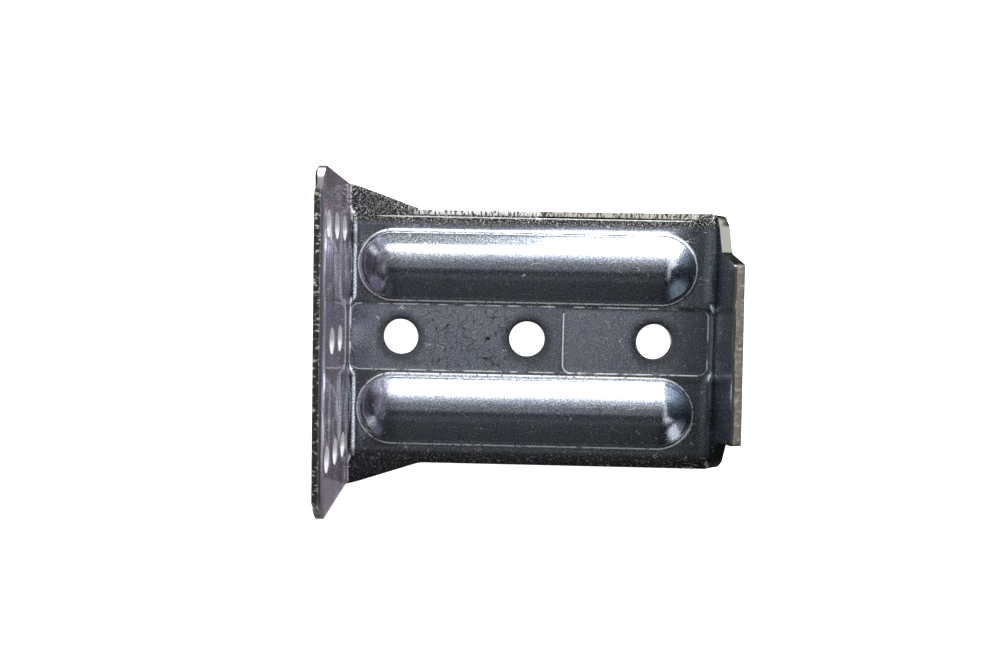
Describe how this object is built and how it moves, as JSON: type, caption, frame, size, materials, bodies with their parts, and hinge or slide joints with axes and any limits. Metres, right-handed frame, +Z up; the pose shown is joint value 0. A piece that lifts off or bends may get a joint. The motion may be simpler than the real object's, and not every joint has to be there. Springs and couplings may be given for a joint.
{
  "type": "roof bracket",
  "caption": "Pressed zinc-plated steel U-shaped roof bracket with a ribbed web, a line of bolt holes, a wide nailing flange and a narrower tapered flange.",
  "frame": {"origin": "middle of the web's underside, halfway between the two flanges", "axes": "+X along the web from the wide flange to the narrow flange, +Y across the web, +Z up from the web to the flanges' tops"},
  "size_m": [0.076, 0.0624, 0.0265],
  "materials": {
    "zinc_plated_steel": "bright zinc plating, fine scratches, dark sheared edges"
  },
  "bodies": {
    "root": {"pressed_bracket": "zinc_plated_steel"}
  },
  "joints": []
}
